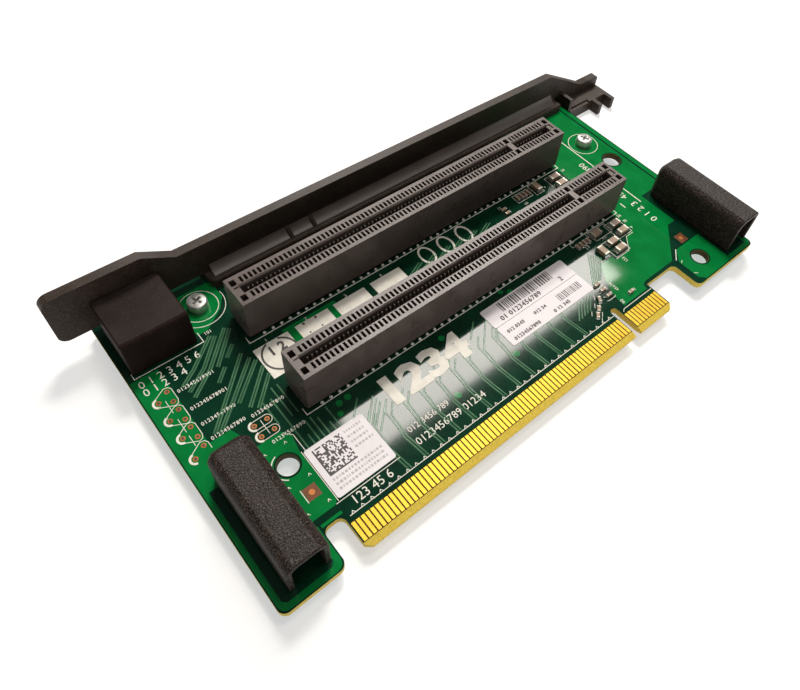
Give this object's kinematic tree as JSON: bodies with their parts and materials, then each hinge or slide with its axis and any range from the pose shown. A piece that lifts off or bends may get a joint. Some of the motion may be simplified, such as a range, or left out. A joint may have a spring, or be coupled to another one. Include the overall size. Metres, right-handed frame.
{
  "type": "pcie riser card",
  "caption": "Flat riser card with a bevelled edge connector, parallel card slots, a moulded mounting rail, guide sleeves and a spring-loaded intrusion push button.",
  "frame": {"origin": "middle of the assembly's footprint at the height of its lowest face, the underside of the rail's lip", "axes": "+X along the card slots towards the rail's hooks, +Y from the edge connector to the rail, +Z out of the component side"},
  "size_m": [0.1556, 0.0722, 0.0181],
  "materials": {
    "solder_mask": "glossy green solder mask over glass-fibre laminate",
    "gold": "hard gold plating",
    "slot_plastic": "moulded, slightly satin",
    "contact_gold": "plated spring alloy",
    "rail_plastic": "fine moulded texture",
    "screw_steel": "zinc plated",
    "sleeve_plastic": "coarse moulded texture",
    "switch_plastic": "moulded, matt",
    "microswitch_plastic": "moulded",
    "tin": "tinned",
    "ceramic": "fired ceramic",
    "paper": "coated label paper"
  },
  "bodies": {
    "card": {"circuit_board": "solder_mask", "edge_pads_top": "gold", "edge_pads_bottom": "gold", "slot_1_housing": "slot_plastic", "slot_2_housing": "slot_plastic", "slot_1_contacts": "contact_gold", "slot_2_contacts": "contact_gold", "rail_bracket": "rail_plastic", "rail_screws": "screw_steel", "left_guide_sleeve": "sleeve_plastic", "right_guide_sleeve": "sleeve_plastic", "intrusion_switch_cover": "switch_plastic", "intrusion_microswitch": "microswitch_plastic", "microswitch_terminals": "tin", "bypass_capacitors": "ceramic", "bypass_capacitor_terminals": "tin", "coupling_capacitors": "ceramic", "code_label": "paper", "serial_label": "paper", "revision_label": "paper"},
    "push_button": {"intrusion_plunger": "switch_plastic", "microswitch_button": "microswitch_plastic"}
  },
  "joints": [
    {"name": "button_slide", "type": "slide", "parent": "card", "child": "push_button", "axis": [0, 1, 0], "range_m": [-0.0016, 0], "stiffness_N_per_m": 400, "springref_m": 0.0005}
  ]
}
